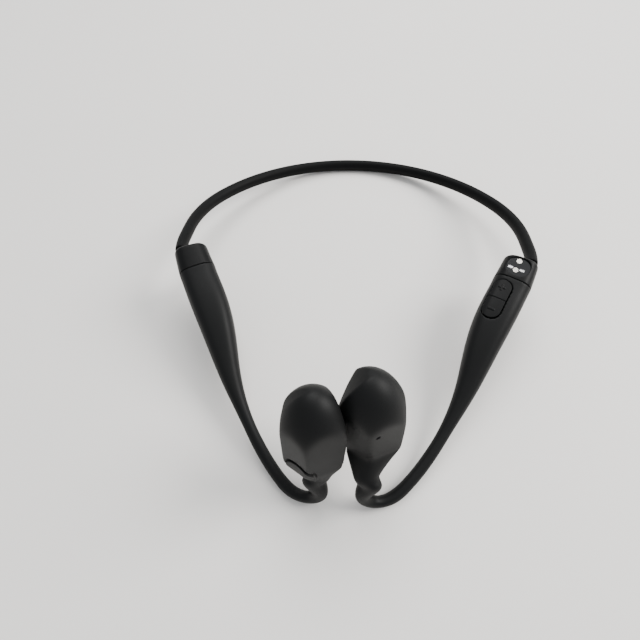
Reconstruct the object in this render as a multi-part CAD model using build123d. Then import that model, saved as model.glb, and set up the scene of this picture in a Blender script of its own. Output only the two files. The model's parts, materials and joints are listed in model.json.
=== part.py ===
from build123d import *
import os
from math import asin, cos, degrees, pi, radians, sin, sqrt

# Bone conduction headphones, lying upside down on the neckband's apex and the two hook bottoms.
# Millimetres. +X is the wearer's right, +Y runs from the earpieces to the neckband's apex, +Z is up.
# The origin is at the middle of the bounding box's base. Only the right side's sizes are written
# down, because the left side is its mirror image apart from how the earpiece leans.

# --- neckband -------------------------------------------------------------------------------
HALF_SPAN = 67.9            # middle plane to the neckband's centreline at its ends
BAND_END_HEIGHT = 21.8      # table to the centreline at its ends
BAND_THICKNESS = 4.6        # across the band, in its own plane
BAND_TALL = 5.2             # square to the band's plane
CROWN_FLATNESS = 3.1        # how much larger the middle arc's radius is than the half span
SHOULDER_RADIUS = 50.0      # the arc between the middle arc and the straight end
BAND_STRAIGHT = 7.3         # straight run at each side, level with the arms' roots
BAND_RUN_IN = 9.5           # further run at each end, into the cap
BAND_TURN_IN = 14.0         # degrees that this last run turns towards the head
BAND_WIRE_DIAMETER = 1.0
BAND_LEADS_DIAMETER = 1.3
LEADS_OFFSET = 1.25         # wire centre to leads centre

# --- arms: pod, ear hook and neck -------------------------------------------------------------
ARM_REACH = 93.4            # band ends to the furthest point of the hook's centreline
NECK_SETOUT = 7.3           # middle plane to the centreline where the hook turns up
POD_WIDTH = 14.0
POD_HEIGHT = 15.6
POD_LENGTH = 27.0           # from the arm's root to where it begins to taper
TAPER_LENGTH = 54.0         # from there to the plain round hook
HOOK_DIAMETER = 4.3
NECK_DIAMETER = 8.2         # where the neck meets the earpiece cup
NECK_FLARE = 15.0           # length over which the hook widens into the neck
POD_SQUARENESS = 3.3        # superellipse exponent of the pod's section, 2 is an ellipse
CAP_START = 6.6             # arm root to the cap's rear end
CAP_END = 16.5              # arm root to the seam between cap and skin
CAP_REAR_WIDTH = 12.6
CAP_NOSE = 1.5              # how far the cap's rear end is rounded in
CAP_NOSE_DRAW = 0.70        # how small the rounding would get, as a share of the section
SKIN = 0.9                  # soft skin over the hard housings
HOUSING_WALL = 1.1          # pod tray and lid
POD_CAVITY_END = 37.0       # end of the hard housing, along the arm
SEAM_GAP = 0.05             # cap to skin
BAND_SOCKET_CLEARANCE = 0.06
HOOK_WIRE_DIAMETER = 0.9
HOOK_LEADS_DIAMETER = 0.8
HOOK_CORES_GAP = 0.25       # between wire and leads

# The arm's centreline, seen in shares: inwards from the band's end to the neck, forwards to the
# furthest point, and height above the lowest point of the hook.
ARM_ROUTE = [
    (0.033, 0.011, 1.060),
    (0.138, 0.175, 0.875),
    (0.260, 0.330, 0.690),
    (0.345, 0.460, 0.545),
    (0.425, 0.590, 0.405),
    (0.518, 0.710, 0.280),
    (0.615, 0.815, 0.160),
    (0.735, 0.918, 0.055),
    (0.835, 0.978, 0.004),
    (0.912, 1.000, 0.004),
    (0.972, 0.996, 0.130),
    (0.998, 0.975, 0.370),
    (1.000, 0.940, 0.650),
]

# --- earpieces ----------------------------------------------------------------------------------
EAR_HALF_LENGTH = 21.0      # centre to the dome's top, along the leaning axis
EAR_HALF_WIDTH = 12.0       # of the full egg, before the facets are cut
EAR_HALF_DEPTH = 11.2
EAR_SHOULDER = 10.0         # centre down to where the body begins to draw in to the neck
DOME_SHARE = 0.985          # how near the last section is to the dome's top
EAR_WALL = 1.3
FACET_SHARPNESS = 16        # higher is a crisper edge between the facets
PAD_DISTANCE = 5.8          # centre to the pad's flat contact face
PAD_LAND = 2.6              # how deep the contact pad's cover is, from its face to the parting line
PAD_FACE_THICKNESS = 1.4
PARTING_GAP = 0.05
# facet name: (normal on the right side: out to the side, forward is -Y, up; distance from centre)
OUTER_FACET = ((0.56, -0.82, 0.10), 8.6)
FRONT_FACET = ((-0.50, -0.86, 0.05), 8.2)
SIDE_FACET = ((1.00, 0.05, 0.00), 9.7)
LOWER_OUTER_FACET = ((0.74, -0.10, -0.66), 14.6)
LOWER_INNER_FACET = ((-0.60, -0.20, -0.77), 13.6)
LOWER_BACK_FACET = ((0.20, 0.72, -0.66), 12.6)
PAD_NORMAL = (-0.80, 0.60, 0.0)
# where the egg's centre is from the end of the neck's centreline, and how its axis leans
EAR_OFFSET = {"right": (0.8, 12.6, 15.0), "left": (1.6, 6.2, 15.0)}
EAR_AXIS = {"right": (-0.10, 0.40, 1.0), "left": (0.02, 0.40, 1.0)}

# --- transducers --------------------------------------------------------------------------------
DRIVER_TRAVEL = 0.20        # either way, square to the pad
DRIVER_CLEARANCE = 0.20     # all round the moving magnet, beyond its travel
FRAME_OUTER = 13.4
FRAME_WALL = 0.7
FRAME_LENGTH = 6.4
LEAF_THICKNESS = 0.25
COIL_WALL = 0.7
MAGNET_DIAMETER = 6.4
MAGNET_THICKNESS = 2.0
POLE_THICKNESS = 0.8
YOKE_WALL = 0.8
YOKE_POST_DIAMETER = 3.0

# --- controls, port and electronics ---------------------------------------------------------------
BUTTON_DIAMETER = 9.6       # multifunction button on the left earpiece
BUTTON_PROUD = 0.25
BUTTON_GAP = 0.40
BUTTON_TRAVEL = 0.30
BUTTON_ALONG = -7.6         # from the egg's centre, up the outer facet
BUTTON_ACROSS = 0.6         # towards the side
BUTTON_FLANGE = 0.5         # thickness of the flange that keeps the button in
BUTTON_FLANGE_REACH = 0.9   # how far the flange stands out beyond the button
BUTTON_BOARD_DIAMETER = 8.0
DOME_SWITCH_DIAMETER = 4.0
DOME_SWITCH_HEIGHT = 0.9
BUTTON_SEAT_GAP = 0.15      # cup's inner face to the flange
BUTTON_WELL_DEPTH = 2.5     # room that the flange moves in
ROCKER_LENGTH = 15.6        # volume rocker on the right pod
ROCKER_WIDTH = 6.4
ROCKER_THICKNESS = 1.3      # from the pod's surface inwards
ROCKER_PROUD = 0.35
ROCKER_GAP = 0.25
ROCKER_ALONG = 26.4         # arm root to the rocker's centre
ROCKER_INBOARD = 2.5        # from the pod's centreline, towards the head
ROCKER_LEAN = 14.0          # degrees that the rocker faces towards the head
ROCKER_PIVOT_DEPTH = 2.3    # under the pod's surface
ROCKER_TILT = 2.0           # degrees either way
ROCKER_SAG = 0.30           # how far the leaning rocker's underside is below the pod's curve
ROCKER_EAR = 0.9            # thickness of each of the rocker's two pivot ears
ROCKER_EAR_RADIUS = 1.0
PIVOT_DIAMETER = 0.8
PIVOT_CLEARANCE = 0.05
BRACKET_WIDTH = 2.0
BRACKET_LENGTH = 1.6
SWITCH_BODY = (3.0, 2.6, 1.3)
SWITCH_PLUNGER = 1.4
SWITCH_CLEARANCE = 0.27     # fully tilted rocker to a switch's plunger
SWITCH_SPACING = 10.4
PORT_LENGTH = 7.6           # charging recess, along the arm
PORT_WIDTH = 8.4
PORT_DEPTH = 0.9
PORT_INSERT = 0.6           # thickness of its glossy floor
PORT_ALONG = 11.4           # arm root to the recess's centre
PORT_INBOARD = 0.5          # from the pod's centreline, towards the head
PORT_CORNER = 3.4
CONTACT_DIAMETER = 1.9
CONTACT_PITCH = 3.8
CONTACT_SHIFT = (0.5, -0.5)  # from the recess's centre, towards the head and towards the hook
CONTACT_LENGTH = 1.6
MAGNET_BAR = (1.7, 0.8)     # faces of the two alignment magnets, across and along the arm
MAGNET_BAR_PITCH = 4.2
MAGNET_SHIFT = 1.35         # from between the contacts, towards the hook
BOARD_THICKNESS = 0.8
BOARD_RISE = 3.2            # pod's centreline to the main board's middle
MAIN_BOARD = (18.4, 7.8)
BOARD_ALONG = 25.6          # arm root to the board's middle
SHIELD_CAN = (11.0, 6.4, 2.0)
ANTENNA = (2.6, 6.0, 1.2)
BATTERY = (16.6, 7.6, 8.6)
BATTERY_ALONG = 25.0
PACK_BOARD = (0.8, 6.6, 6.6)
PACK_BOARD_GAP = 0.6        # cell to its protection board
CHARGE_BOARD = (5.0, 4.6, 0.6)
CHARGE_BOARD_SHIFT = 1.2    # from the recess's centre, towards the hook
MIC_HOLE_DIAMETER = 1.0
MIC_ALONG = 6.5             # from the egg's centre, up the outer facet
MIC_ACROSS = -2.4           # away from the side
MIC_GASKET = (3.0, 0.6)     # diameter and thickness
MIC_BODY = (3.0, 2.4, 1.0)

RING_POINTS = 24            # points of one superellipse section
ARM_SECTIONS = 17
CAP_NOSE_SECTIONS = 5
EAR_SECTIONS = 11
NECK_SECTIONS = 4           # steps from the neck's outline to the body's


# --- derived sizes of the neckband ----------------------------------------------------------------
CROWN_RADIUS = HALF_SPAN + CROWN_FLATNESS
CROWN_ANGLE = asin((HALF_SPAN - SHOULDER_RADIUS) / (CROWN_RADIUS - SHOULDER_RADIUS))
BAND_DEPTH = CROWN_RADIUS - (CROWN_RADIUS - SHOULDER_RADIUS) * cos(CROWN_ANGLE) + BAND_STRAIGHT
BAND_TILT = asin((BAND_END_HEIGHT - BAND_TALL / 2) / BAND_DEPTH)
APEX_HEIGHT = sqrt((BAND_TALL / 2 * cos(BAND_TILT)) ** 2 + (BAND_THICKNESS / 2 * sin(BAND_TILT)) ** 2)
BAND_REACH = BAND_DEPTH * cos(BAND_TILT)
BAND_EDGE = sqrt((BAND_THICKNESS / 2 * cos(BAND_TILT)) ** 2 + (BAND_TALL / 2 * sin(BAND_TILT)) ** 2)
BAND_END_Y = (ARM_REACH + HOOK_DIAMETER / 2 - BAND_REACH - BAND_EDGE) / 2


def unit(vector):
    """A vector of length one."""
    return Vector(*vector).normalized()


def smooth_step(share):
    """0 below 0, 1 above 1, and an S-shaped rise between them."""
    held = min(max(share, 0.0), 1.0)
    return held * held * (3 - 2 * held)


def band_plane():
    """The neckband's own plane: X to the right, Y towards the apex, origin at the apex."""
    lean = Vector(0, cos(BAND_TILT), -sin(BAND_TILT))
    return Plane(origin=(0, BAND_END_Y + BAND_REACH, APEX_HEIGHT), x_dir=(1, 0, 0),
                 z_dir=Vector(1, 0, 0).cross(lean))


def band_path(offset=0.0, beyond=0.0):
    """Centreline from the right end to the left end, moved outwards by offset, longer by beyond."""
    crown = CROWN_RADIUS + offset
    shoulder = SHOULDER_RADIUS + offset
    shoulder_x = HALF_SPAN - SHOULDER_RADIUS
    shoulder_y = -CROWN_RADIUS + (CROWN_RADIUS - SHOULDER_RADIUS) * cos(CROWN_ANGLE)
    side_x = HALF_SPAN + offset
    turn_radius = BAND_RUN_IN / radians(BAND_TURN_IN)
    turn_x = HALF_SPAN - turn_radius
    turn = BAND_TURN_IN + degrees(beyond / turn_radius)
    join = degrees(pi / 2 - CROWN_ANGLE)
    return Wire([
        Edge.make_circle(turn_radius + offset, Plane(origin=(turn_x, -BAND_DEPTH, 0)), -turn, 0),
        Edge.make_line((side_x, -BAND_DEPTH), (side_x, shoulder_y)),
        Edge.make_circle(shoulder, Plane(origin=(shoulder_x, shoulder_y, 0)), 0, join),
        Edge.make_circle(crown, Plane(origin=(0, -CROWN_RADIUS, 0)), join, 180 - join),
        Edge.make_circle(shoulder, Plane(origin=(-shoulder_x, shoulder_y, 0)), 180 - join, 180),
        Edge.make_line((-side_x, shoulder_y), (-side_x, -BAND_DEPTH)),
        Edge.make_circle(turn_radius + offset, Plane(origin=(-turn_x, -BAND_DEPTH, 0)), 180, 180 + turn),
    ])


def band_tube(width, tall, offset=0.0, beyond=0.0):
    """A tube of elliptical section along the neckband."""
    path = band_path(offset, beyond)
    onwards = path % 0
    across = Vector(-onwards.Y, onwards.X, 0)
    section = Plane(origin=path @ 0, x_dir=across, z_dir=onwards) * Ellipse(width / 2, tall / 2)
    return band_plane() * sweep(section, path=path)


def neckband_pieces():
    """Soft sleeve, spring wire and leads."""
    wire = band_tube(BAND_WIRE_DIAMETER, BAND_WIRE_DIAMETER)
    leads = band_tube(BAND_LEADS_DIAMETER, BAND_LEADS_DIAMETER, offset=-LEADS_OFFSET)
    sleeve = band_tube(BAND_THICKNESS, BAND_TALL) - wire - leads
    return {"neckband_sleeve": sleeve, "neckband_wire": wire, "neckband_leads": leads}


def arm_guide():
    """The right arm's centreline as one smooth curve."""
    inset = HALF_SPAN - NECK_SETOUT
    rise = BAND_END_HEIGHT - HOOK_DIAMETER / 2
    return Edge.make_spline([
        Vector(HALF_SPAN - inward * inset, BAND_END_Y - forward * ARM_REACH, HOOK_DIAMETER / 2 + up * rise)
        for inward, forward, up in ARM_ROUTE])


GUIDE = arm_guide()
GUIDE_LENGTH = GUIDE.length


def arm_plane(distance):
    """Section plane of the arm: X outwards from the head, Y upwards, Z towards the earpiece."""
    share = min(max(distance / GUIDE_LENGTH, 0.0), 1.0)
    onwards = GUIDE % share
    origin = GUIDE @ share + onwards * (distance - share * GUIDE_LENGTH)
    outwards = unit((0.86, -0.50, 0.0))
    outwards = (outwards - onwards * outwards.dot(onwards)).normalized()
    return Plane(origin=origin, x_dir=outwards, z_dir=onwards)


def closed_curve(points):
    """A closed smooth curve, evenly parametrised so that a loft through many stays light."""
    evenly = [step / len(points) for step in range(len(points) + 1)]
    return Wire([Edge.make_spline(points, periodic=True, parameters=evenly)])


def superellipse(width, tall, power):
    """A closed smooth outline, squarer as power grows."""
    points = []
    for step in range(RING_POINTS):
        angle = 2 * pi * step / RING_POINTS
        side, up = cos(angle), sin(angle)
        points.append((
            width / 2 * abs(side) ** (2 / power) * (1 if side >= 0 else -1),
            tall / 2 * abs(up) ** (2 / power) * (1 if up >= 0 else -1)))
    return closed_curve([Vector(*point) for point in points])


def arm_section(distance, inset=0.0):
    """The arm's outline at a distance along the centreline, moved inwards by inset."""
    girth = 1 - smooth_step((distance - POD_LENGTH) / TAPER_LENGTH)
    flare = smooth_step((distance - GUIDE_LENGTH + NECK_FLARE) / NECK_FLARE)
    round_part = HOOK_DIAMETER + (NECK_DIAMETER - HOOK_DIAMETER) * flare
    width = round_part + (POD_WIDTH - HOOK_DIAMETER) * girth
    tall = round_part + (POD_HEIGHT - HOOK_DIAMETER) * girth
    power = 2 + (POD_SQUARENESS - 2) * girth
    return arm_plane(distance) * superellipse(width - 2 * inset, tall - 2 * inset, power)


def arm_loft(start, end, inset=0.0, sections=ARM_SECTIONS):
    """A solid with the arm's shape between two distances, moved inwards by inset."""
    step = (end - start) / (sections - 1)
    return Solid.make_loft([arm_section(start + step * index, inset) for index in range(sections)])


def arm_thread(diameter, start, end, aside, sections=ARM_SECTIONS):
    """A thin round core along the arm, moved aside from the centreline."""
    outline = Wire([Edge.make_circle(diameter / 2, Plane(origin=(aside, 0, 0)))])
    step = (end - start) / (sections - 1)
    return Solid.make_loft([arm_plane(start + step * index) * outline for index in range(sections)])


def cap_ring(distance, scale=1.0):
    """The end cap's outline, narrower towards its rear end."""
    share = min(max((distance - CAP_START) / (CAP_END - CAP_START), 0.0), 1.0)
    width = CAP_REAR_WIDTH + (POD_WIDTH - CAP_REAR_WIDTH) * share
    return arm_plane(distance) * superellipse(width * scale, POD_HEIGHT * scale, POD_SQUARENESS)


def cap_blank():
    """The end cap's outer form, its rear end rounded in."""
    rings = []
    for step in range(CAP_NOSE_SECTIONS):
        turn = pi / 2 * (0.35 + 0.65 * step / (CAP_NOSE_SECTIONS - 1))
        scale = CAP_NOSE_DRAW + (1 - CAP_NOSE_DRAW) * sin(turn)
        rings.append(cap_ring(CAP_START + CAP_NOSE * (1 - cos(turn)), scale))
    nose_end = CAP_START + CAP_NOSE
    for step in range(1, CAP_NOSE_SECTIONS):
        rings.append(cap_ring(nose_end + (CAP_END - nose_end) * step / (CAP_NOSE_SECTIONS - 1)))
    return Solid.make_loft(rings, ruled=True)


def top_plane(distance, inboard=0.0, depth=0.0):
    """A plane on the pod's flat top: X towards the head, Y towards the hook, Z up."""
    section = arm_plane(distance)
    girth = 1 - smooth_step((distance - POD_LENGTH) / TAPER_LENGTH)
    tall = HOOK_DIAMETER + (POD_HEIGHT - HOOK_DIAMETER) * girth
    origin = section.origin - section.x_dir * inboard + section.y_dir * (tall / 2 - depth)
    return Plane(origin=origin, x_dir=section.x_dir * -1, z_dir=section.y_dir)


def pod_block(distance, size, inboard=0.0, up=0.0):
    """A box inside the pod: size along the arm, across it and upwards."""
    section = arm_plane(distance)
    place = Plane(origin=section.origin - section.x_dir * inboard + section.y_dir * up,
                  x_dir=section.z_dir, z_dir=section.y_dir)
    return place * Box(*size)


def band_socket():
    """The hole that the neckband's ends go into, with its clearance."""
    grow = 2 * BAND_SOCKET_CLEARANCE
    return band_tube(BAND_THICKNESS + grow, BAND_TALL + grow, beyond=BAND_SOCKET_CLEARANCE)


def hard_housing():
    """The pod's inner housing as a tray and a lid, and the cavity that it fills."""
    start = CAP_END - HOUSING_WALL
    outer = arm_loft(start, POD_CAVITY_END, SKIN, 6)
    cavity = arm_loft(start - HOUSING_WALL, POD_CAVITY_END - HOUSING_WALL, SKIN + HOUSING_WALL, 6)
    shell = outer - cavity
    middle = arm_plane((start + POD_CAVITY_END) / 2)
    half = Plane(origin=middle.origin, x_dir=middle.z_dir, z_dir=middle.y_dir)
    reach = POD_CAVITY_END * 2
    upper = half * Pos(0, 0, reach / 2) * Box(reach, reach, reach)
    return shell - upper, shell & upper, outer


def hook_cores():
    """Spring wire and leads that run from the pod through the hook into the neck."""
    start = POD_CAVITY_END - 2 * HOUSING_WALL
    pitch = (HOOK_WIRE_DIAMETER + HOOK_LEADS_DIAMETER) / 2 + HOOK_CORES_GAP
    wire = arm_thread(HOOK_WIRE_DIAMETER, start, GUIDE_LENGTH, pitch / 2)
    leads = arm_thread(HOOK_LEADS_DIAMETER, start, GUIDE_LENGTH, -pitch / 2)
    return wire, leads


def arm_pieces():
    """Skin, tray, lid, hook wire and hook leads of the right arm."""
    tray, lid, housing = hard_housing()
    wire, leads = hook_cores()
    cores = wire + leads
    skin = arm_loft(CAP_END + SEAM_GAP, GUIDE_LENGTH) - housing - wire - leads
    return {
        "arm_skin": skin,
        "pod_tray": tray - cores,
        "pod_lid": lid - cores,
        "hook_wire": wire,
        "hook_leads": leads,
    }


def stadium(length, width, height):
    """A rounded bar standing on its base: length along Y."""
    return extrude(SlotOverall(length, width, rotation=90), height)


def end_cap():
    """The hard cap at the arm's root, hollow towards the pod and open to the neckband."""
    outer = cap_blank()
    inside = arm_loft(CAP_START + CAP_NOSE + HOUSING_WALL, CAP_END + 1, SKIN + HOUSING_WALL, 4)
    lip = arm_loft(CAP_END - HOUSING_WALL - SEAM_GAP, CAP_END + 1, SKIN - SEAM_GAP, 3)
    return outer - inside - lip - band_socket()


def port_blank(grow, height, depth):
    """The charging recess's outline, made thick downwards from a depth under the pod's top."""
    outline = RectangleRounded(PORT_WIDTH + 2 * grow, PORT_LENGTH + 2 * grow, PORT_CORNER + grow)
    return top_plane(PORT_ALONG, PORT_INBOARD, depth) * extrude(outline, -height)


def port_pieces(cap):
    """Cap with its recess, glossy floor, round contacts and magnet faces."""
    above = 3.0
    recess = port_blank(0, above + PORT_DEPTH + PORT_INSERT, -above)
    cap = cap - recess
    insert = port_blank(-SEAM_GAP, PORT_INSERT, PORT_DEPTH)
    floor = top_plane(PORT_ALONG, PORT_INBOARD, PORT_DEPTH) * Pos(*CONTACT_SHIFT, 0)
    contacts = []
    magnets = []
    for end in (-1, 1):
        pin = Pos(0, end * CONTACT_PITCH / 2, -CONTACT_LENGTH / 2) * Cylinder(
            CONTACT_DIAMETER / 2, CONTACT_LENGTH)
        contacts.append(floor * pin)
        bar = Pos(end * MAGNET_BAR_PITCH / 2, MAGNET_SHIFT, -CONTACT_LENGTH / 2) * Box(
            *MAGNET_BAR, CONTACT_LENGTH)
        magnets.append(floor * bar)
    for plug in contacts + magnets:
        cap = cap - plug
        insert = insert - plug
    return {
        "end_cap": cap,
        "charging_insert": insert,
        "charging_contacts": Compound(contacts),
        "alignment_magnets": Compound(magnets),
    }


# --- earpieces --------------------------------------------------------------------------------------
def ear_terms():
    """Flat facets of the right earpiece: unit normal and distance from the centre."""
    facets = [OUTER_FACET, FRONT_FACET, SIDE_FACET, LOWER_OUTER_FACET, LOWER_INNER_FACET,
              LOWER_BACK_FACET]
    return [(unit(normal), distance) for normal, distance in facets]


def ear_size(point, axis, inset):
    """Below 1 inside the earpiece, 1 on its surface: an egg blended with its facets."""
    along = point.dot(axis)
    across = point.dot(Vector(1, 0, 0))
    depth = sqrt(max(point.length ** 2 - along ** 2 - across ** 2, 0.0))
    egg = sqrt((along / (EAR_HALF_LENGTH - inset)) ** 2 + (across / (EAR_HALF_WIDTH - inset)) ** 2
               + (depth / (EAR_HALF_DEPTH - inset)) ** 2)
    total = egg ** FACET_SHARPNESS
    for normal, distance in ear_terms():
        total += (max(point.dot(normal), 0.0) / (distance - inset)) ** FACET_SHARPNESS
    return total ** (1 / FACET_SHARPNESS)


class Earpiece:
    """Places of one earpiece, worked out on the right side; the left one is mirrored afterwards."""

    def __init__(self, side):
        self.axis = unit(EAR_AXIS[side])
        self.centre = GUIDE @ 1 + Vector(*EAR_OFFSET[side])
        self.pad = unit(PAD_NORMAL)
        self.pad = (self.pad - self.axis * self.pad.dot(self.axis)).normalized()

    def level(self, height):
        """The section plane at a height along the axis."""
        return Plane(origin=self.centre + self.axis * height, x_dir=(1, 0, 0.0001), z_dir=self.axis)

    def ring(self, height, inset):
        """Points of the earpiece's outline at a height along the axis."""
        plane = self.level(height)
        points = []
        for step in range(RING_POINTS):
            angle = 2 * pi * step / RING_POINTS
            ray = plane.x_dir * cos(angle) + plane.y_dir * sin(angle)
            low, high = 0.0, 2 * EAR_HALF_WIDTH
            for _ in range(30):
                middle = (low + high) / 2
                if ear_size(self.axis * height + ray * middle, self.axis, inset) < 1:
                    low = middle
                else:
                    high = middle
            points.append(plane.origin + ray * low)
        return points

    def neck_ring(self, inset):
        """Points of the round outline where the neck ends and the cup begins."""
        start = Plane(origin=GUIDE @ 1 + (GUIDE % 1) * inset, x_dir=(1, 0, 0.0001), z_dir=GUIDE % 1)
        radius = NECK_DIAMETER / 2 - inset
        return [start.origin + (start.x_dir * cos(angle) + start.y_dir * sin(angle)) * radius
                for angle in [2 * pi * step / RING_POINTS for step in range(RING_POINTS)]]

    def form(self, inset=0.0):
        """The earpiece's solid form from the neck to the dome's top, moved inwards by inset."""
        top = DOME_SHARE / ear_size(self.axis, self.axis, inset)
        low = inset - EAR_SHOULDER
        neck = self.neck_ring(inset)
        shoulder = self.ring(low, inset)
        rings = [neck]
        for step in range(1, NECK_SECTIONS):
            share = step / NECK_SECTIONS
            rings.append([near + (far - near) * share for near, far in zip(neck, shoulder)])
        for index in range(EAR_SECTIONS):
            rise = sin(pi / 2 * index / (EAR_SECTIONS - 1))
            rings.append(self.ring(low + (top - low) * rise, inset))
        return Solid.make_loft([closed_curve(points) for points in rings])

    def pad_plane(self, depth=0.0):
        """A plane square to the pad, at a depth under its contact face; Z points to the head."""
        return Plane(origin=self.centre + self.pad * (PAD_DISTANCE - depth),
                     x_dir=self.axis.cross(self.pad), z_dir=self.pad)

    def facet_plane(self, facet, along, across, depth=0.0):
        """A plane on a facet: Y up the facet, Z outwards."""
        normal = unit(facet[0])
        up = (self.axis - normal * self.axis.dot(normal)).normalized()
        side = up.cross(normal)
        origin = self.centre + normal * (facet[1] - depth) + up * along + side * across
        return Plane(origin=origin, x_dir=side, z_dir=normal)


def before(plane, thickness, reach=70.0):
    """A large block on the side that a plane's normal points to."""
    return plane * Pos(0, 0, thickness / 2) * Box(reach, reach, thickness)


def ear_shells(ear, cores):
    """Cup and contact pad, parted square to the pad, with the passage for the hook's cores."""
    beyond = 20.0
    outer = ear.form() - before(ear.pad_plane(), beyond)
    inner = ear.form(EAR_WALL) - before(ear.pad_plane(PAD_FACE_THICKNESS), beyond)
    shell = outer - inner
    pad = shell & before(ear.pad_plane(PAD_LAND), beyond)
    cup = shell - before(ear.pad_plane(PAD_LAND + PARTING_GAP), beyond) - cores
    return cup, pad


def ring_on(plane, outer, inner, start, length):
    """A tube or, with no inner diameter, a disc standing on a plane's back, from start to deeper."""
    body = Cylinder(outer / 2, length)
    if inner > 0:
        body = body - Cylinder(inner / 2, length)
    return plane * Pos(0, 0, -start - length / 2) * body


def transducer(ear):
    """Frame, coil, leaf spring, yoke, magnet and pole plate behind the contact pad."""
    face = ear.pad_plane()
    start = PAD_FACE_THICKNESS
    frame_end = start + FRAME_LENGTH
    gap = DRIVER_TRAVEL + DRIVER_CLEARANCE
    coil_inner = MAGNET_DIAMETER + 2 * gap
    coil_outer = coil_inner + 2 * COIL_WALL
    yoke_inner = coil_outer + 2 * gap
    yoke_outer = yoke_inner + 2 * YOKE_WALL
    pole_start = start + gap
    magnet_start = pole_start + POLE_THICKNESS
    floor_start = magnet_start + MAGNET_THICKNESS
    floor_end = floor_start + YOKE_WALL
    post_length = frame_end - LEAF_THICKNESS - floor_end
    yoke = ring_on(face, yoke_outer, yoke_inner, pole_start, floor_start - pole_start)
    yoke = yoke + ring_on(face, yoke_outer, 0, floor_start, YOKE_WALL)
    yoke = yoke + ring_on(face, YOKE_POST_DIAMETER, 0, floor_end, post_length)
    return {
        "driver_frame": ring_on(face, FRAME_OUTER, FRAME_OUTER - 2 * FRAME_WALL, start,
                                FRAME_LENGTH - LEAF_THICKNESS),
        "voice_coil": ring_on(face, coil_outer, coil_inner, start, floor_start - gap - start),
        "leaf_spring": ring_on(face, FRAME_OUTER, 0, frame_end - LEAF_THICKNESS, LEAF_THICKNESS),
        "yoke": yoke,
        "magnet": ring_on(face, MAGNET_DIAMETER, 0, magnet_start, MAGNET_THICKNESS),
        "pole_plate": ring_on(face, MAGNET_DIAMETER, 0, pole_start, POLE_THICKNESS),
    }


def pod_half_height(distance):
    """Centreline to the flat top of the pod or hook."""
    girth = 1 - smooth_step((distance - POD_LENGTH) / TAPER_LENGTH)
    return (HOOK_DIAMETER + (POD_HEIGHT - HOOK_DIAMETER) * girth) / 2


def rocker_plane():
    """Over the rocker's middle, on the pod's surface: Y towards the hook, Z outwards."""
    section = arm_plane(ROCKER_ALONG)
    inboard = section.x_dir * -1
    up = section.y_dir * cos(radians(ROCKER_LEAN)) + inboard * sin(radians(ROCKER_LEAN))
    origin = section.origin + inboard * ROCKER_INBOARD + section.y_dir * pod_half_height(ROCKER_ALONG)
    return Plane(origin=origin, x_dir=section.z_dir.cross(up), z_dir=up)


def cross_pin(place, diameter, length, shift=0.0):
    """A pin along a plane's X, at its origin."""
    return place * Pos(shift, 0, 0) * Rot(0, 90, 0) * Cylinder(diameter / 2, length)


def rocker_pieces(skin, lid):
    """Rocker, its pin and bracket and the two switches; the skin and the lid get its opening."""
    place = rocker_plane()
    start = ROCKER_ALONG - ROCKER_LENGTH
    end = ROCKER_ALONG + ROCKER_LENGTH
    column = place * Pos(0, 0, -ROCKER_PIVOT_DEPTH) * stadium(ROCKER_LENGTH, ROCKER_WIDTH, 8)
    grow = 2 * ROCKER_GAP
    opening = place * Pos(0, 0, -SKIN - HOUSING_WALL - 1.5) * stadium(
        ROCKER_LENGTH + grow, ROCKER_WIDTH + grow, 10)
    raised = arm_loft(start, end, -ROCKER_PROUD, 6)
    key = column & (raised - arm_loft(start - 1, end + 1, ROCKER_THICKNESS, 6))
    pivot = Plane(origin=place.origin - place.z_dir * ROCKER_PIVOT_DEPTH, x_dir=place.x_dir,
                  z_dir=place.z_dir)
    reach = BRACKET_WIDTH / 2 + ROCKER_GAP + ROCKER_EAR / 2
    for end_shift in (-reach, reach):
        ear = cross_pin(pivot, 2 * ROCKER_EAR_RADIUS, ROCKER_EAR, end_shift)
        web_height = ROCKER_PIVOT_DEPTH - ROCKER_THICKNESS + 0.3
        web = pivot * Pos(end_shift, 0, web_height / 2) * Box(ROCKER_EAR, 2 * ROCKER_EAR_RADIUS, web_height)
        key = key + ear + web
    bore = cross_pin(pivot, PIVOT_DIAMETER + 2 * PIVOT_CLEARANCE, 2 * reach + 2 * ROCKER_EAR)
    key = key - bore
    pin = cross_pin(pivot, PIVOT_DIAMETER, 2 * reach + ROCKER_EAR)
    board_top = BOARD_RISE + BOARD_THICKNESS / 2
    above = ROCKER_EAR_RADIUS * 0.6
    stand = pod_half_height(ROCKER_ALONG) - ROCKER_PIVOT_DEPTH - BOARD_RISE + above
    bracket = pivot * Pos(0, 0, above - stand / 2) * Box(BRACKET_WIDTH, BRACKET_LENGTH, stand)
    board = main_board()
    press = SWITCH_SPACING / 2 * sin(radians(ROCKER_TILT))
    pieces = {"volume_rocker": key, "rocker_pin": pin, "rocker_bracket": bracket - pin - board}
    for name, sign in (("volume_up_switch", -1), ("volume_down_switch", 1)):
        along = ROCKER_ALONG + sign * SWITCH_SPACING / 2
        top = pod_half_height(along) - ROCKER_THICKNESS - ROCKER_SAG - press - SWITCH_CLEARANCE
        body = pod_block(along, SWITCH_BODY, ROCKER_INBOARD, board_top + SWITCH_BODY[2] / 2)
        height = top - board_top - SWITCH_BODY[2]
        plunger = pod_block(along, (SWITCH_PLUNGER, SWITCH_PLUNGER, height), ROCKER_INBOARD, top - height / 2)
        pieces[name] = body + plunger - board
    pieces["arm_skin"] = skin - opening
    pieces["pod_lid"] = lid - opening
    return pieces


def main_board():
    """The main board, over the pod's centreline."""
    return pod_block(BOARD_ALONG, (*MAIN_BOARD, BOARD_THICKNESS), 0, BOARD_RISE)


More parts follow.
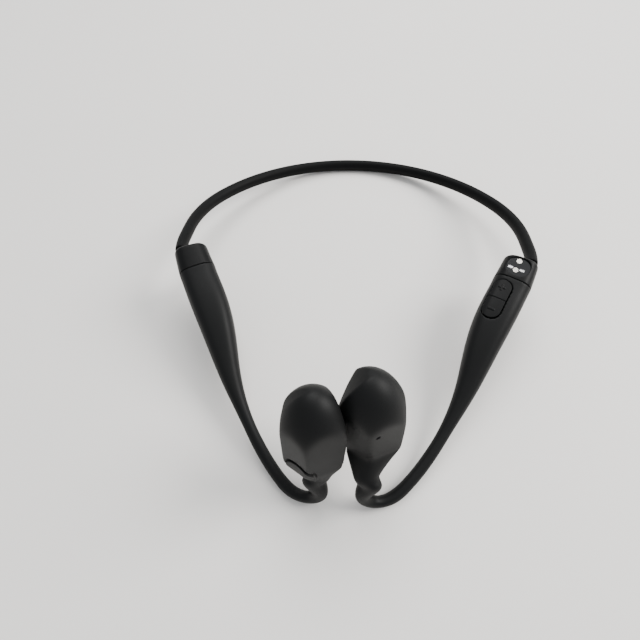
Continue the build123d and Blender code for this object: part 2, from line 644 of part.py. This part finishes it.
def right_electronics():
    """Main board with its shielding can and antenna, and the board under the charging contacts."""
    below = BOARD_RISE - BOARD_THICKNESS / 2 - 0.03
    floor = top_plane(PORT_ALONG + CHARGE_BOARD_SHIFT, PORT_INBOARD, PORT_DEPTH + CONTACT_LENGTH)
    antenna_along = BOARD_ALONG + (MAIN_BOARD[0] - ANTENNA[0]) / 2 - 0.4
    return {
        "main_board": main_board(),
        "shield_can": pod_block(BOARD_ALONG - 2, SHIELD_CAN, 0, below - SHIELD_CAN[2] / 2),
        "antenna": pod_block(antenna_along, ANTENNA, 0, below - ANTENNA[2] / 2),
        "charging_board": floor * Pos(0, 0, -CHARGE_BOARD[2] / 2) * Box(*CHARGE_BOARD),
    }


def left_electronics():
    """Battery cell and its protection board."""
    board_along = BATTERY_ALONG + BATTERY[0] / 2 + PACK_BOARD_GAP + PACK_BOARD[0] / 2
    return {
        "battery_cell": pod_block(BATTERY_ALONG, BATTERY),
        "battery_board": pod_block(board_along, PACK_BOARD),
    }


def button_pieces(ear, cup):
    """Multifunction button, its dome switch and board; the cup gets the button's hole."""
    place = ear.facet_plane(OUTER_FACET, BUTTON_ALONG, BUTTON_ACROSS)
    flange_depth = EAR_WALL + BUTTON_SEAT_GAP
    flange_end = flange_depth + BUTTON_FLANGE
    switch_start = flange_end + BUTTON_TRAVEL + 0.1
    switch_end = switch_start + DOME_SWITCH_HEIGHT
    hole = place * Pos(0, 0, -flange_depth) * extrude(Circle(BUTTON_DIAMETER / 2 + BUTTON_GAP), 8)
    flange = BUTTON_DIAMETER + 2 * BUTTON_FLANGE_REACH
    well = ring_on(place, flange + 2 * BUTTON_GAP, 0, flange_depth - 0.1, BUTTON_WELL_DEPTH)
    column = place * Pos(0, 0, -flange_depth) * extrude(Circle(BUTTON_DIAMETER / 2), 8)
    cap = column & ear.form(-BUTTON_PROUD)
    cap = cap + ring_on(place, flange, 0, flange_depth, BUTTON_FLANGE)
    return {
        "multifunction_button": cap,
        "button_switch": ring_on(place, DOME_SWITCH_DIAMETER, 0, switch_start, DOME_SWITCH_HEIGHT),
        "button_board": ring_on(place, BUTTON_BOARD_DIAMETER, 0, switch_end, BOARD_THICKNESS),
        "earpiece_cup": cup - hole - well,
    }


def microphone_pieces(ear, cup):
    """Microphone and gasket behind the hole in the outer facet."""
    place = ear.facet_plane(OUTER_FACET, MIC_ALONG, MIC_ACROSS)
    back = EAR_WALL + MIC_GASKET[1]
    gasket = ring_on(place, MIC_GASKET[0], MIC_HOLE_DIAMETER, EAR_WALL, MIC_GASKET[1])
    return {
        "microphone_gasket": gasket - cup,
        "microphone": place * Pos(0, 0, -back - MIC_BODY[2] / 2) * Box(*MIC_BODY),
        "earpiece_cup": cup - place * Cylinder(MIC_HOLE_DIAMETER / 2, 4 * EAR_WALL),
    }


def hook_exit():
    """The passage for the hook's cores into the cup."""
    passage = HOOK_WIRE_DIAMETER + HOOK_LEADS_DIAMETER + 1.0
    return arm_thread(passage, GUIDE_LENGTH - 1, GUIDE_LENGTH + 6, 0.0, 3)


def ear_pieces(side):
    """Cup, contact pad and transducer of one earpiece, as if on the right."""
    ear = Earpiece(side)
    cup, pad = ear_shells(ear, hook_exit())
    pieces = {"earpiece_cup": cup, "contact_pad": pad}
    pieces.update(transducer(ear))
    return ear, pieces


def right_side():
    """Every piece of the right arm and earpiece."""
    pieces = arm_pieces()
    pieces.update(rocker_pieces(pieces["arm_skin"], pieces["pod_lid"]))
    pieces.update(port_pieces(end_cap()))
    pieces.update(right_electronics())
    ear, in_ear = ear_pieces("right")
    pieces.update(in_ear)
    pieces.update(microphone_pieces(ear, pieces["earpiece_cup"]))
    return {f"right_{name}": solid for name, solid in pieces.items()}


def left_side():
    """Every piece of the left arm and earpiece, mirrored from the right."""
    pieces = arm_pieces()
    pieces["end_cap"] = end_cap()
    pieces.update(left_electronics())
    ear, in_ear = ear_pieces("left")
    pieces.update(in_ear)
    pieces.update(button_pieces(ear, pieces["earpiece_cup"]))
    return {f"left_{name}": mirror(solid, about=Plane.YZ) for name, solid in pieces.items()}


if __name__ == "__main__":
    os.makedirs("parts", exist_ok=True)
    everything = {**neckband_pieces(), **right_side(), **left_side()}
    for name, solid in everything.items():
        export_step(solid, f"parts/{name}.step")
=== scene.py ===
import json
import bmesh
import bpy
from mathutils import Matrix, Vector
from math import cos, radians, sin


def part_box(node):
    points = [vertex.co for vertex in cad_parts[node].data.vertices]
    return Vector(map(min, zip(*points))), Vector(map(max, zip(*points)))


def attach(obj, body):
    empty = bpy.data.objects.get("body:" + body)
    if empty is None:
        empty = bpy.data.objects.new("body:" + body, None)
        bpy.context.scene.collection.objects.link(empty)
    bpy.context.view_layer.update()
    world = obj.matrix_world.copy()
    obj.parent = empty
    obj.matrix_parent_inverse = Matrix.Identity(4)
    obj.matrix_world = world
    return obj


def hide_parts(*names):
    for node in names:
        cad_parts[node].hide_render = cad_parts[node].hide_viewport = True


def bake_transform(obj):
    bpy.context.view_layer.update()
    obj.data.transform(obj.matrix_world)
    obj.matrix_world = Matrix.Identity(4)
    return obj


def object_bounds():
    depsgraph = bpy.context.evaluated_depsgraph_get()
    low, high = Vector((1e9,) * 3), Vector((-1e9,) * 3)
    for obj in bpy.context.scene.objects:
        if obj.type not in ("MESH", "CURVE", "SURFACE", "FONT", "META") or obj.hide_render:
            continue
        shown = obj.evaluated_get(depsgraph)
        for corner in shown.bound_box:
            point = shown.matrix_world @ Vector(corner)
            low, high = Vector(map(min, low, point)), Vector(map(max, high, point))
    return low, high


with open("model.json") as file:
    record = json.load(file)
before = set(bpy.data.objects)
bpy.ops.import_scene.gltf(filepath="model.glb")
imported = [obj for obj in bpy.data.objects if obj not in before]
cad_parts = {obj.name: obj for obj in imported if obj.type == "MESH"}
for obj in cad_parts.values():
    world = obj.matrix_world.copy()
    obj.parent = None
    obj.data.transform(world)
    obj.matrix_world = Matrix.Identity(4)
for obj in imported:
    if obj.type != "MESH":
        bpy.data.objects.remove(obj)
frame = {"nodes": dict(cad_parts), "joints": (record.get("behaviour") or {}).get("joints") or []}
packed_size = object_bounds()
nodes = frame["nodes"]

# Bone conduction headphones lying upside down on a pale table, seen from over the earpieces.
# Metres, in the CAD part's own frame: +X the wearer's right, +Y towards the neckband, +Z up.

# --- sizes of the looks ---------------------------------------------------------------------------
SKIN_VOXEL = 0.00034          # soft skins
CAP_VOXEL = 0.00016           # hard caps
KEY_VOXEL = 0.00010           # rocker and button
BAND_VOXEL = 0.00036          # neckband
MERGE_REACH = 0.000002        # corners closer than this are one
SMOOTH_FACTOR = 0.5
MARK_HEIGHT = 0.00022         # the raised plus and minus on the rocker
MARK_LENGTH = 0.0024
MARK_WIDTH = 0.00055
MARK_PLACE = 0.0046           # rocker's middle to each mark
LINE_DEPTH = 0.00022          # the line across the rocker's middle
LINE_WIDTH = 0.00040
MARK_EDGE = 0.00012           # run of the marks' and the line's sloping sides
KEY_TOP_TURN = 0.6            # least share of outward facing that counts as the rocker's top
KEY_TOP_HEIGHT = 0.0016       # least height of that top over the pivot

# Earpieces, in the right side's axes: the left one is worked out there too and then mirrored.
# A facet is its normal and its distance from the earpiece's middle.
EAR_SIZES = (0.0210, 0.0120, 0.0112)      # half length, half width, half depth
EAR_MIDDLE = {"right": (0.0081, -0.06085, 0.02992), "left": (0.0089, -0.06725, 0.02992)}
EAR_LEAN = {"right": (-0.10, 0.40, 1.0), "left": (0.02, 0.40, 1.0)}
EAR_CRISP = 26                # higher makes crisper edges between the facets
OUTER_FACET = {"right": ((0.46, -0.88, 0.14), 0.0080), "left": ((0.57, -0.80, 0.15), 0.0083)}
FRONT_FACET = {"right": ((-0.50, -0.86, 0.08), 0.0080), "left": ((-0.44, -0.88, 0.20), 0.0076)}
LOW_FACETS = (
    ((1.00, 0.05, 0.00), 0.0097),
    ((0.74, -0.10, -0.66), 0.0146),
    ((-0.60, -0.20, -0.77), 0.0136),
    ((0.20, 0.72, -0.66), 0.0126),
)
PAD_AIM = (-0.80, 0.60, 0.0)  # way the pad faces, before it is squared to the lean
PAD_DISTANCE = 0.0058         # middle to the pad's face
SHOULDER = 0.0100             # middle down to where the body draws in to the neck
NECK_END = (0.0073, -0.07345, 0.01492)    # where the arm's neck ends
NECK_AIM = (-0.013, 0.598, 0.801)         # way the neck points there, towards the earpiece
NECK_RADIUS = 0.0041
NECK_ROOT = 0.0025            # how far the earpiece's neck reaches into the arm
NECK_ROOT_SHARE = 0.8         # its radius there, as a share of the neck's
NECK_SHARES = (0.2, 0.4, 0.6, 0.8)        # places of the outlines between neck and shoulder
EAR_POINTS = 120              # round each outline
EAR_RINGS = 40                # outlines from shoulder to tip
LAST_RING = 89.0              # degrees of the quarter turn that spaces them
HALVINGS = 18                 # steps that find the surface along a ray
NECK_EASE = 0.0130            # reach of the strong smoothing round the neck
NECK_ROUNDS = 90
EASE_GAIN = 2.5               # how soon that smoothing is full inside its reach
BUTTON_PLACE = (-0.0076, 0.0006)          # up the outer facet and towards the side
BUTTON_WELL = (0.00525, 0.0011)           # radius and depth
MICROPHONE_PLACE = (0.0065, -0.0024)
MICROPHONE_WELL = (0.00055, 0.0010)
WELL_REACH = 0.004            # farthest a point lies from the facet and is still sunk
FLOOR_SIZE = 6.0

CAMERA_SPOT = (0.0, -0.1090, 0.1750)
CAMERA_ELEVATION = 60.0       # degrees down from level
CAMERA_YAW = 6.92
CAMERA_ROLL = 3.3
CAMERA_LENS = 27.56
SENSOR_WIDTH = 36.0
CLIP_START = 0.01


# --- shader helpers ---------------------------------------------------------------------------------
class Value:
    """A shader socket that can be calculated with."""

    def __init__(self, shader, socket):
        self.shader = shader
        self.socket = socket

    def calculate(self, operation, first, second):
        node = self.shader.node("ShaderNodeMath", {"operation": operation}, {0: first, 1: second})
        return Value(self.shader, node.outputs[0])

    def __add__(self, other):
        return self.calculate("ADD", self, other)

    def __radd__(self, other):
        return self.calculate("ADD", other, self)

    def __sub__(self, other):
        return self.calculate("SUBTRACT", self, other)

    def __rsub__(self, other):
        return self.calculate("SUBTRACT", other, self)

    def __mul__(self, other):
        return self.calculate("MULTIPLY", self, other)

    def __rmul__(self, other):
        return self.calculate("MULTIPLY", other, self)


class Shader:
    """A material's node tree with one Principled BSDF."""

    def __init__(self, name):
        self.material = bpy.data.materials.new(name)
        self.material.use_nodes = True
        self.tree = self.material.node_tree
        self.surface = next(n for n in self.tree.nodes if n.type == "BSDF_PRINCIPLED")
        self.place = self.value(self.node("ShaderNodeTexCoord"), "Object")

    def node(self, kind, settings=None, inputs=None):
        made = self.tree.nodes.new(kind)
        for key, setting in (settings or {}).items():
            setattr(made, key, setting)
        for key, value in (inputs or {}).items():
            self.put(made.inputs[key], value)
        return made

    def put(self, socket, value):
        if isinstance(value, Value):
            self.tree.links.new(value.socket, socket)
        else:
            socket.default_value = value

    def value(self, node, output=0):
        return Value(self, node.outputs[output])

    def noise(self, scale, detail=2.0, stretch=(1.0, 1.0, 1.0)):
        """Noise in object space, its waves 1 / scale metres long; a stretch under 1 draws them out."""
        place = self.node("ShaderNodeMapping", None, {"Vector": self.place, "Scale": stretch})
        made = self.node("ShaderNodeTexNoise", None, {
            "Vector": self.value(place), "Scale": scale, "Detail": detail})
        return self.value(made)

    def tint(self, share, low, high):
        """A colour between two, by share."""
        made = self.node("ShaderNodeMix", {"data_type": "RGBA"}, {0: share, 6: (*low, 1), 7: (*high, 1)})
        return self.value(made, 2)

    def relief(self, height, distance, strength):
        """A bump from a height."""
        made = self.node("ShaderNodeBump", None, {
            "Height": height, "Distance": distance, "Strength": strength})
        return self.value(made)


SMUDGE_SCALE = 85.0           # handling marks, in waves a metre
SLOW_RATIO = 18               # how many times wider the slow changes are than the grain
FINE_SHARE = 0.6              # the grain's part in the roughness, against the smudges' part
RELIEF_STRENGTH = 0.5
COAT_ROUGHNESS = 0.08


def surface_finish(name, colour, roughness, grain, relief, metallic=0.0, coat=0.0, uneven=0.12,
                   stretch=(1.0, 1.0, 1.0), mottle=0.18, shine=0.5):
    """A procedural finish: fine grain in the relief, slow changes in roughness and colour."""
    shader = Shader(name)
    fine = shader.noise(grain, 3.0, stretch)
    slow = shader.noise(grain / SLOW_RATIO, 2.0, stretch)
    smudge = shader.noise(SMUDGE_SCALE, 4.0)
    low = tuple(part * (1 - mottle) for part in colour)
    high = tuple(part * (1 + mottle) for part in colour)
    shader.put(shader.surface.inputs["Base Color"], shader.tint(slow, low, high))
    rough = roughness + (smudge - 0.5) * uneven + (fine - 0.5) * (uneven * FINE_SHARE)
    shader.put(shader.surface.inputs["Roughness"], rough)
    shader.put(shader.surface.inputs["Metallic"], metallic)
    shader.put(shader.surface.inputs["Coat Weight"], coat)
    shader.put(shader.surface.inputs["Specular IOR Level"], shine)
    shader.put(shader.surface.inputs["Coat Roughness"], COAT_ROUGHNESS)
    shader.put(shader.surface.inputs["Normal"], shader.relief(fine, relief, RELIEF_STRENGTH))
    return shader.material


SILICONE = surface_finish("soft_touch_silicone", (0.0030, 0.0033, 0.0034), 0.50, 5200.0, 0.00004, uneven=0.10,
                          shine=0.17)
SLEEVE = surface_finish("neckband_silicone", (0.0020, 0.0022, 0.0023), 0.56, 5200.0, 0.00004, uneven=0.10,
                        shine=0.10)
SATIN = surface_finish("satin_plastic", (0.0022, 0.0024, 0.0025), 0.44, 7000.0, 0.00003, uneven=0.10,
                       shine=0.14)
KEY = surface_finish("satin_key", (0.0026, 0.0028, 0.0029), 0.46, 7000.0, 0.00003, uneven=0.10,
                     shine=0.15)
GLOSS = surface_finish("gloss_black", (0.0035, 0.0035, 0.0038), 0.09, 900.0, 0.000004, uneven=0.05,
                       coat=0.6)
CONTACT = surface_finish("contact_plating", (0.88, 0.84, 0.76), 0.24, 3000.0, 0.00001, metallic=1.0,
                         uneven=0.10)
BAR = surface_finish("magnet_plating", (0.82, 0.82, 0.82), 0.26, 3000.0, 0.00001, metallic=1.0,
                     uneven=0.10)
STEEL = surface_finish("rolled_steel", (0.46, 0.46, 0.45), 0.34, 2400.0, 0.00002, metallic=1.0,
                       stretch=(1.0, 0.12, 1.0))
WIRE = surface_finish("drawn_wire", (0.42, 0.41, 0.39), 0.30, 5000.0, 0.00001, metallic=1.0,
                      stretch=(1.0, 0.1, 1.0))
TIN = surface_finish("tinned_steel", (0.62, 0.62, 0.60), 0.32, 1800.0, 0.00002, metallic=1.0)
FOIL = surface_finish("cell_foil", (0.55, 0.55, 0.57), 0.40, 900.0, 0.00006, metallic=1.0)
COPPER = surface_finish("copper_winding", (0.62, 0.27, 0.12), 0.30, 6000.0, 0.00003, metallic=1.0,
                        stretch=(0.2, 0.2, 1.0))
BOARD = surface_finish("solder_mask", (0.012, 0.085, 0.036), 0.30, 2600.0, 0.00002, coat=0.3)
CERAMIC = surface_finish("fired_ceramic", (0.62, 0.60, 0.54), 0.45, 2200.0, 0.00002)
MOULDED = surface_finish("moulded_plastic", (0.030, 0.030, 0.032), 0.44, 3800.0, 0.00003)
SWITCH = surface_finish("switch_plastic", (0.060, 0.060, 0.062), 0.40, 3800.0, 0.00002)
LEADS = surface_finish("lead_insulation", (0.028, 0.028, 0.028), 0.42, 3000.0, 0.00002)
GASKET = surface_finish("gasket_foam", (0.020, 0.020, 0.020), 0.80, 5200.0, 0.00008)

CARRIED = {
    "charging_insert": GLOSS, "charging_contacts": CONTACT,
    "alignment_magnets": BAR, "hook_wire": WIRE, "hook_leads": LEADS, "pod_tray": MOULDED,
    "pod_lid": MOULDED, "main_board": BOARD, "charging_board": BOARD, "battery_board": BOARD,
    "button_board": BOARD, "shield_can": TIN, "antenna": CERAMIC, "battery_cell": FOIL,
    "driver_frame": MOULDED, "voice_coil": COPPER, "leaf_spring": STEEL, "yoke": STEEL,
    "pole_plate": STEEL, "magnet": BAR, "rocker_pin": STEEL, "rocker_bracket": STEEL,
    "volume_up_switch": SWITCH, "volume_down_switch": SWITCH, "button_switch": SWITCH,
    "microphone": TIN, "microphone_gasket": GASKET,
}


# --- pieces ---------------------------------------------------------------------------------------------
def paint(obj, material):
    """One material over the whole piece."""
    obj.data.materials.clear()
    obj.data.materials.append(material)


def settle(obj):
    """The modifiers' result becomes the piece's own mesh."""
    ready = obj.evaluated_get(bpy.context.evaluated_depsgraph_get())
    mesh = bpy.data.meshes.new_from_object(ready)
    obj.modifiers.clear()
    obj.data = mesh
    obj.data.shade_smooth()


def fused(name, sources, voxel, rounds, material, extra=None):
    """One closed mesh from several CAD nodes and an extra mesh, its edges softened."""
    build = bmesh.new()
    for source in sources:
        build.from_mesh(nodes[source].data)
    if extra:
        build.from_mesh(extra)
    bmesh.ops.remove_doubles(build, verts=build.verts, dist=MERGE_REACH)
    mesh = bpy.data.meshes.new(name)
    build.to_mesh(mesh)
    build.free()
    obj = bpy.data.objects.new(name, mesh)
    bpy.context.scene.collection.objects.link(obj)
    remesh = obj.modifiers.new("Remesh", "REMESH")
    remesh.mode = "VOXEL"
    remesh.voxel_size = voxel
    smooth = obj.modifiers.new("Smooth", "SMOOTH")
    smooth.iterations = rounds
    smooth.factor = SMOOTH_FACTOR
    settle(obj)
    paint(obj, material)
    return obj


def ease(obj, centre, reach, rounds):
    """Smooths a piece strongly round one point, fading out at reach."""
    group = obj.vertex_groups.new(name="ease")
    for vertex in obj.data.vertices:
        near = 1 - (vertex.co - centre).length / reach
        if near > 0:
            group.add([vertex.index], min(near * EASE_GAIN, 1.0), "REPLACE")
    smooth = obj.modifiers.new("Ease", "SMOOTH")
    smooth.iterations = rounds
    smooth.factor = SMOOTH_FACTOR
    smooth.vertex_group = group.name
    settle(obj)
    obj.vertex_groups.clear()


def middle(node):
    """Middle of a CAD node's box."""
    low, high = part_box(node)
    return (low + high) / 2


class Ear:
    """One earpiece's form: an egg blended with flat facets, worked out as if on the right."""

    def __init__(self, side):
        self.side = side
        self.axis = Vector(EAR_LEAN[side]).normalized()
        self.middle = Vector(EAR_MIDDLE[side])
        facets = (OUTER_FACET[side], FRONT_FACET[side], *LOW_FACETS)
        self.facets = [(Vector(normal).normalized(), distance) for normal, distance in facets]
        aim = Vector(PAD_AIM).normalized()
        self.pad = (aim - self.axis * aim.dot(self.axis)).normalized()
        self.side_aim = (Vector((1, 0, 0)) - self.axis * self.axis.x).normalized()
        self.other_aim = self.axis.cross(self.side_aim)

    def size(self, point):
        """Below 1 inside, 1 on the surface."""
        along = point.dot(self.axis)
        depth = max(point.length_squared - along ** 2 - point.x ** 2, 0.0)
        length, width, thick = EAR_SIZES
        egg = (along / length) ** 2 + (point.x / width) ** 2 + depth / thick ** 2
        total = egg ** (EAR_CRISP / 2)
        for normal, distance in self.facets:
            total += (max(point.dot(normal), 0.0) / distance) ** EAR_CRISP
        return total ** (1 / EAR_CRISP)

    def ring(self, height):
        """Outline at a height along the axis."""
        points = []
        for step in range(EAR_POINTS):
            angle = radians(360 * step / EAR_POINTS)
            ray = self.side_aim * cos(angle) + self.other_aim * sin(angle)
            low, high = 0.0, 2 * EAR_SIZES[1]
            for _ in range(HALVINGS):
                half = (low + high) / 2
                inside = self.size(self.axis * height + ray * half) < 1
                low, high = (half, high) if inside else (low, half)
            points.append(self.middle + self.axis * height + ray * low)
        return points

    def neck(self, back, radius):
        """Round outline at the neck's end, or further back along it."""
        aim = Vector(NECK_AIM).normalized()
        across = (Vector((1, 0, 0)) - aim * aim.x).normalized()
        other = aim.cross(across)
        spot = Vector(NECK_END) - aim * back
        turns = [radians(360 * step / EAR_POINTS) for step in range(EAR_POINTS)]
        return [spot + (across * cos(turn) + other * sin(turn)) * radius for turn in turns]

    def mesh(self):
        """The whole form as a closed mesh, its pad face cut flat."""
        top = 1 / self.size(self.axis)
        neck = self.neck(0.0, NECK_RADIUS)
        shoulder = self.ring(-SHOULDER)
        rings = [self.neck(NECK_ROOT, NECK_RADIUS * NECK_ROOT_SHARE), neck]
        for share in NECK_SHARES:
            rings.append([near.lerp(far, share) for near, far in zip(neck, shoulder)])
        for step in range(EAR_RINGS):
            rise = sin(radians(LAST_RING * step / (EAR_RINGS - 1)))
            rings.append(self.ring(-SHOULDER + (top + SHOULDER) * rise))
        build = bmesh.new()
        rows = [[build.verts.new(self.flatten(point)) for point in ring] for ring in rings]
        for below, above in zip(rows, rows[1:]):
            for step in range(EAR_POINTS):
                onwards = (step + 1) % EAR_POINTS
                build.faces.new((below[step], below[onwards], above[onwards], above[step]))
        build.faces.new(reversed(rows[0]))
        build.faces.new(rows[-1])
        if self.side == "left":
            bmesh.ops.scale(build, vec=(-1, 1, 1), verts=build.verts)
        bmesh.ops.recalc_face_normals(build, faces=build.faces)
        made = bpy.data.meshes.new(f"{self.side}_earpiece_form")
        build.to_mesh(made)
        build.free()
        return made

    def flatten(self, point):
        """A point beyond the pad's face comes back onto it."""
        beyond = (point - self.middle).dot(self.pad) - PAD_DISTANCE
        return point - self.pad * max(beyond, 0.0)

    def well(self, obj, place, radius, depth):
        """Sinks a round well into the outer facet."""
        normal, distance = self.facets[0]
        up = (self.axis - normal * self.axis.dot(normal)).normalized()
        spot = self.middle + normal * distance + up * place[0] + up.cross(normal) * place[1]
        if self.side == "left":
            spot.x, normal = -spot.x, Vector((-normal.x, normal.y, normal.z))
        for vertex in obj.data.vertices:
            offset = vertex.co - spot
            height = offset.dot(normal)
            if abs(height) < WELL_REACH and (offset - normal * height).length < radius:
                vertex.co -= normal * depth


def side_skin(side):
    """The seamless soft skin over one side's pod, hook, earpiece and pad."""
    ear = Ear(side)
    skin = fused(f"{side}_soft_skin", [f"{side}_arm_skin"], SKIN_VOXEL, 4, SILICONE, ear.mesh())
    neck = Vector(NECK_END)
    if side == "left":
        neck.x = -neck.x
    ease(skin, neck, NECK_EASE, NECK_ROUNDS)
    if side == "left":
        ear.well(skin, BUTTON_PLACE, *BUTTON_WELL)
    else:
        ear.well(skin, MICROPHONE_PLACE, *MICROPHONE_WELL)
    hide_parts(f"{side}_arm_skin", f"{side}_earpiece_cup", f"{side}_contact_pad")
    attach(skin, f"{side}_side")


def single(name, node, voxel, rounds, material, body):
    """A smoothed stand-in for one CAD node."""
    obj = fused(name, [node], voxel, rounds, material)
    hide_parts(node)
    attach(obj, body)


def neckband():
    """The sleeve with its wire and leads inside, as one piece running from one side to the other."""
    inside = ["neckband_sleeve", "neckband_wire", "neckband_leads"]
    band = fused("neckband", inside, BAND_VOXEL, 5, SLEEVE)
    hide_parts(*inside)
    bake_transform(band)


def rocker_axes():
    """The rocker's pivot, its direction across the arm, along it and outwards."""
    joint = next(j for j in frame["joints"] if j["name"] == "volume_rocker_tilt")
    across = Vector(joint["axis"]).normalized()
    along = middle("right_volume_down_switch") - middle("right_volume_up_switch")
    along = (along - across * along.dot(across)).normalized()
    return Vector(joint["pos_m"]), across, along, across.cross(along)


def band_share(distance, half_width, edge):
    """1 within half_width of 0, falling to 0 over edge."""
    return min(max((half_width + edge - abs(distance)) / edge, 0.0), 1.0)


def rocker():
    """The volume rocker with its raised marks and the line between its two halves."""
    key = fused("volume_rocker_key", ["right_volume_rocker"], KEY_VOXEL, 4, KEY)
    pivot, across, along, outwards = rocker_axes()
    centre = (middle("right_volume_rocker") - pivot).dot(across)
    for vertex in key.data.vertices:
        offset = vertex.co - pivot
        if vertex.normal.dot(outwards) < KEY_TOP_TURN or offset.dot(outwards) < KEY_TOP_HEIGHT:
            continue
        down = offset.dot(along)
        aside = offset.dot(across) - centre
        rise = -LINE_DEPTH * band_share(down, LINE_WIDTH / 2, MARK_EDGE)
        for end in (-1, 1):
            bar = band_share(down - end * MARK_PLACE, MARK_WIDTH / 2, MARK_EDGE)
            bar *= band_share(aside, MARK_LENGTH / 2, MARK_EDGE)
            post = band_share(down - end * MARK_PLACE, MARK_LENGTH / 2, MARK_EDGE)
            post *= band_share(aside, MARK_WIDTH / 2, MARK_EDGE)
            rise += MARK_HEIGHT * (max(bar, post) if end < 0 else bar)
        vertex.co += outwards * rise
    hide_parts("right_volume_rocker")
    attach(key, "volume_rocker")


for side in ("right", "left"):
    side_skin(side)
    single(f"{side}_end_shell", f"{side}_end_cap", CAP_VOXEL, 5, SATIN, f"{side}_side")
single("multifunction_key", "left_multifunction_button", KEY_VOXEL, 4, KEY,
       "multifunction_button")
neckband()
rocker()
for name, node in nodes.items():
    kind = name.replace("left_", "").replace("right_", "")
    if kind in CARRIED:
        paint(node, CARRIED[kind])


# --- table, light and camera ---------------------------------------------------------------------------
def table_top():
    """A plain pale table."""
    build = bmesh.new()
    bmesh.ops.create_grid(build, x_segments=1, y_segments=1, size=FLOOR_SIZE / 2)
    mesh = bpy.data.meshes.new("table_top")
    build.to_mesh(mesh)
    build.free()
    obj = bpy.data.objects.new("table_top", mesh)
    obj.location.z = packed_size[0][2]
    bpy.context.scene.collection.objects.link(obj)
    paint(obj, surface_finish("table_paint", (0.84, 0.82, 0.79), 0.62, 240.0, 0.00004, uneven=0.06,
                              mottle=0.02))


def soft_light(name, spot, size, power, colour):
    """A large area light, aimed at the middle of the table."""
    data = bpy.data.lights.new(name, "AREA")
    data.shape = "DISK"
    data.size = size
    data.energy = power
    data.color = colour
    obj = bpy.data.objects.new(name, data)
    obj.location = spot
    obj.rotation_euler = (-Vector(spot)).to_track_quat("-Z", "Y").to_euler()
    bpy.context.scene.collection.objects.link(obj)


def pale_world(strength):
    """Even pale light from all round."""
    world = bpy.data.worlds.new("pale_room")
    world.use_nodes = True
    back = next(n for n in world.node_tree.nodes if n.type == "BACKGROUND")
    back.inputs["Color"].default_value = (0.95, 0.97, 1.0, 1)
    back.inputs["Strength"].default_value = strength
    bpy.context.scene.world = world


def aim_camera():
    """The camera over the earpieces, tilted down towards the table."""
    data = bpy.data.cameras.new("Camera")
    data.lens = CAMERA_LENS
    data.sensor_width = SENSOR_WIDTH
    data.clip_start = CLIP_START
    obj = bpy.data.objects.new("Camera", data)
    bpy.context.scene.collection.objects.link(obj)
    yaw, lift, roll = radians(CAMERA_YAW), radians(CAMERA_ELEVATION), radians(CAMERA_ROLL)
    right = Vector((cos(yaw), sin(yaw), 0))
    ahead = Vector((-sin(yaw) * cos(lift), cos(yaw) * cos(lift), -sin(lift)))
    down = ahead.cross(right)
    turned = right * cos(roll) + down * sin(roll)
    upwards = right * sin(roll) - down * cos(roll)
    axes = Matrix((turned, upwards, -ahead)).transposed()
    obj.matrix_world = Matrix.Translation(CAMERA_SPOT) @ axes.to_4x4()
    bpy.context.scene.camera = obj


table_top()
pale_world(strength=0.80)
soft_light("window", spot=(0.95, 0.25, 0.80), size=0.70, power=19.0, colour=(1.0, 0.985, 0.96))
soft_light("ceiling", spot=(0.0, 0.75, 1.10), size=0.90, power=14.0, colour=(1.0, 0.99, 0.98))
aim_camera()
